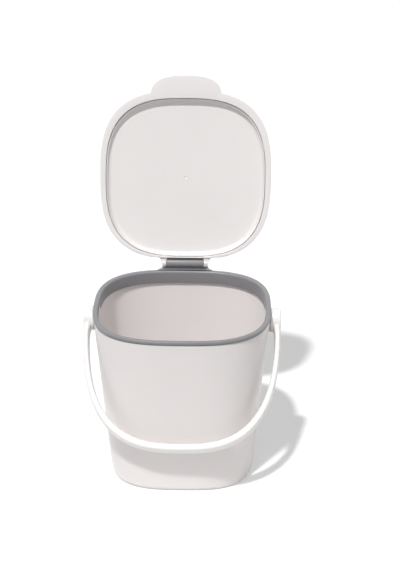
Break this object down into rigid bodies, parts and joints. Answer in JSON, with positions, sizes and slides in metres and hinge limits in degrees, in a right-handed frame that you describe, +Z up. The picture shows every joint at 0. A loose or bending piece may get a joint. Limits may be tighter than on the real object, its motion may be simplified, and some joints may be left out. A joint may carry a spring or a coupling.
{
  "type": "compost caddy",
  "caption": "Rounded-square countertop compost caddy: tapered white bin, grey lift-off collar carrying a hinged lid with a thumb tab, and a swinging bail.",
  "frame": {"origin": "centre of the bin's flat base, on the surface that it stands on, straight below the pivots of the bail", "axes": "+Z up, -Y towards the front where the thumb tab of the closed lid is, +Y towards the hinge, +X to the right seen from the front"},
  "size_m": [0.2514, 0.3033, 0.4683],
  "materials": {
    "bin_plastic": "white moulded plastic, satin gloss",
    "collar_plastic": "cool mid grey moulded plastic, fine matt texture",
    "lid_plastic": "white moulded plastic, satin gloss",
    "liner_plastic": "white moulded plastic, soft matt",
    "pin_steel": "drawn stainless wire, bright",
    "bail_plastic": "white moulded plastic, satin"
  },
  "bodies": {
    "bin": {"bin_body": "bin_plastic", "pivot_cap_left": "bail_plastic", "pivot_cap_right": "bail_plastic"},
    "collar": {"rim_collar": "collar_plastic"},
    "lid": {"lid_shell": "lid_plastic", "lid_liner": "liner_plastic", "hinge_pin": "pin_steel"},
    "bail": {"bail_handle": "bail_plastic"}
  },
  "joints": [
    {"name": "collar_lift", "type": "slide", "parent": "bin", "child": "collar", "axis": [0, 0, 1], "range_m": [0, 0.04]},
    {"name": "lid_hinge", "type": "hinge", "parent": "collar", "child": "lid", "pos_m": [0, 0.1187, 0.2233], "axis": [1, 0, 0], "range_deg": [0, 104]},
    {"name": "bail_swing", "type": "hinge", "parent": "bin", "child": "bail", "pos_m": [0, 0, 0.196], "axis": [-1, 0, 0], "range_deg": [0, 180]}
  ]
}
